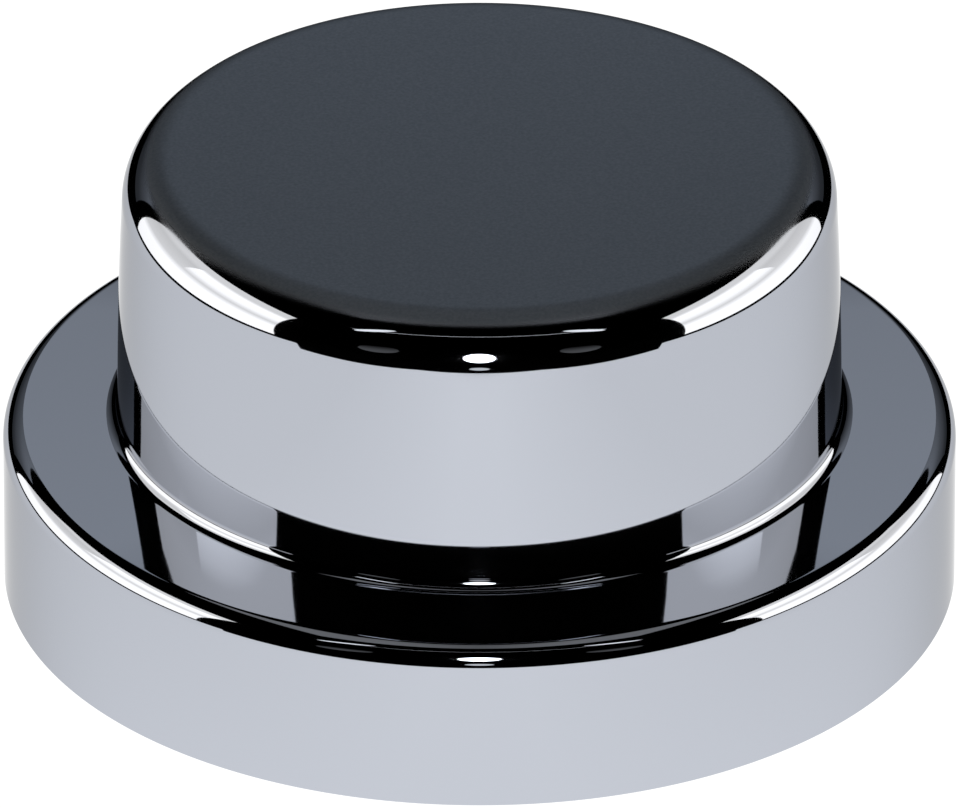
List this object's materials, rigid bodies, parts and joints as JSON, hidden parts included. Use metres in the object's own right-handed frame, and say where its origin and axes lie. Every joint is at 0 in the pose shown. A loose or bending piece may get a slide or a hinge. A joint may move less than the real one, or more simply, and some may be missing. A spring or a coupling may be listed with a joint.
{
  "type": "lug nut cap",
  "caption": "Round top-hat cap with a flat crown, a wide flange and a short skirt, hollow with grip ribs, that pushes over a hexagonal wheel nut to cover it.",
  "frame": {"origin": "centre of the rim's circle, in the plane that the rim stands on", "axes": "+Z along the cap's axis towards the crown; +X square to one flat of the nut that it grips"},
  "size_m": [0.06, 0.06, 0.0295],
  "materials": {
    "chrome_plate": "bright chrome plate on moulded plastic, mirror smooth, with a finely grained, darker satin top"
  },
  "bodies": {
    "root": {"lug_nut_cap": "chrome_plate"}
  },
  "joints": []
}
